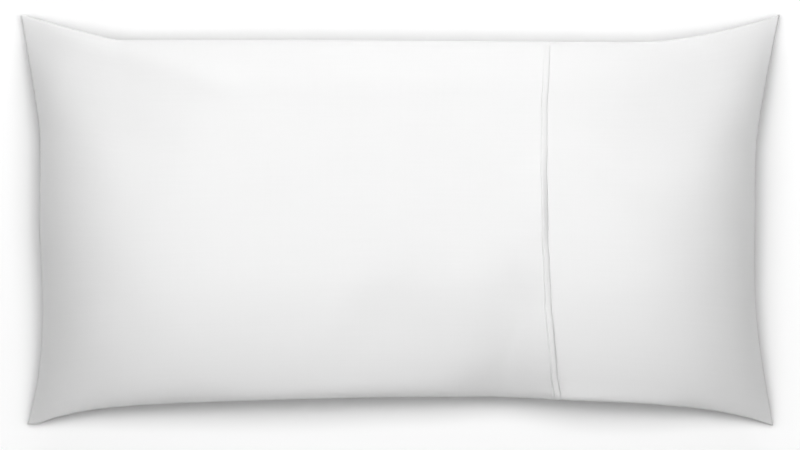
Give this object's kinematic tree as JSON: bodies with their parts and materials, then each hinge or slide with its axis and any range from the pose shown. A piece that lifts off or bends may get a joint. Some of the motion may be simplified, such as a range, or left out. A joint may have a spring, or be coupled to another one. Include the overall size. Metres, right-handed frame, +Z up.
{
  "type": "filled pillowcase",
  "caption": "Filled white pillowcase lying face up, with crown, four pointed ears and a lapped, hemmed opening across its face.",
  "frame": {"origin": "on the surface it rests on, under the middle of its bounding box", "axes": "+X along the case towards the flap's end, +Y across it, +Z up out of the face"},
  "size_m": [0.9175, 0.4967, 0.1617],
  "materials": {
    "back_cotton": "fine matt white cotton weave",
    "face_cotton": "fine white cotton weave with a faint sheen",
    "thread": "white sewing thread"
  },
  "bodies": {
    "root": {"filled_back": "back_cotton", "face_panel": "face_cotton", "flap_panel": "face_cotton"}
  },
  "joints": []
}
